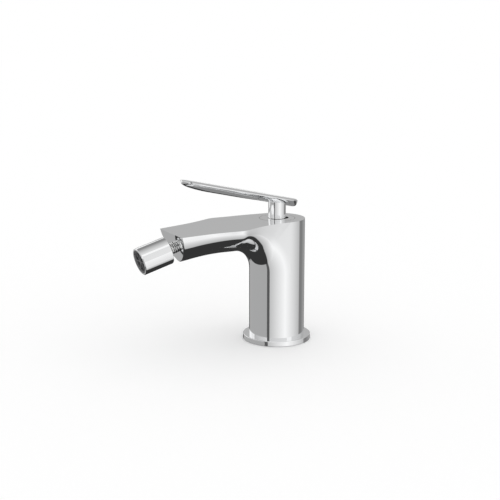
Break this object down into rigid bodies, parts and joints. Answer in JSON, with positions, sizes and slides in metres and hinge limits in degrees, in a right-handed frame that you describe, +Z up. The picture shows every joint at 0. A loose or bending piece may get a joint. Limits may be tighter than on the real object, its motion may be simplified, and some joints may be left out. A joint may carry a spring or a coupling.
{
  "type": "bidet mixer",
  "caption": "Single-lever bidet mixer: round column with flange, spout widening from the arch, leaf-shaped lever on a flush turning cover, and a swivelling cylindrical nozzle.",
  "frame": {"origin": "on the column's axis, at the underside of the base rubber", "axes": "+Z up along the column, the spout points to -Y, +X to the right seen from behind the mixer towards the spout's left"},
  "size_m": [0.064, 0.1602, 0.1461],
  "materials": {
    "chrome": "polished chrome plate",
    "brass": "bare turned brass",
    "steel": "stainless steel",
    "black_plastic": "black moulded plastic",
    "white_plastic": "white moulded plastic",
    "grey_plastic": "grey moulded plastic",
    "ceramic": "ground ceramic",
    "rubber": "black rubber"
  },
  "bodies": {
    "base": {"mixer_body": "chrome", "base_flange": "chrome", "base_gasket": "rubber", "port_seal": "rubber", "cartridge_base": "black_plastic", "fixed_disc": "ceramic", "cartridge_housing": "white_plastic", "housing_o_ring": "rubber", "retaining_nut": "brass", "nozzle_nipple": "brass"},
    "turret_body": {"turret": "grey_plastic", "cover_disc": "chrome", "hinge_pin": "steel"},
    "lever_body": {"lever": "chrome", "spindle": "brass", "grub_screw": "steel", "grub_cap": "grey_plastic"},
    "slider_body": {"disc_carrier": "black_plastic", "moving_disc": "ceramic"},
    "ball_body": {"swivel_ball": "brass"},
    "nozzle_body": {"nozzle_shell": "chrome", "ball_seat": "white_plastic", "ball_o_ring": "rubber", "aerator_washer": "rubber", "aerator_housing": "white_plastic", "aerator_mesh": "steel"}
  },
  "joints": [
    {"name": "lever_turn", "type": "hinge", "parent": "base", "child": "turret_body", "pos_m": [0, 0, 0.107], "axis": [0, 0, 1], "range_deg": [-45, 45]},
    {"name": "lever_lift", "type": "hinge", "parent": "turret_body", "child": "lever_body", "pos_m": [0, 0, 0.1015], "axis": [-1, 0, 0], "range_deg": [0, 20]},
    {"name": "disc_slide", "type": "slide", "parent": "turret_body", "child": "slider_body", "axis": [0, 1, 0], "range_m": [-0.00451, 0]},
    {"name": "nozzle_turn", "type": "hinge", "parent": "base", "child": "ball_body", "pos_m": [0, -0.10953, 0.0869], "axis": [0, -0.9613, -0.2756], "range_deg": [-180, 180]},
    {"name": "nozzle_tilt", "type": "hinge", "parent": "ball_body", "child": "nozzle_body", "pos_m": [0, -0.10953, 0.0869], "axis": [1, 0, 0], "range_deg": [-15, 15]}
  ],
  "couplings": [
    {"joint": "disc_slide", "follows": "lever_lift", "m_per_rad": -0.012934}
  ]
}
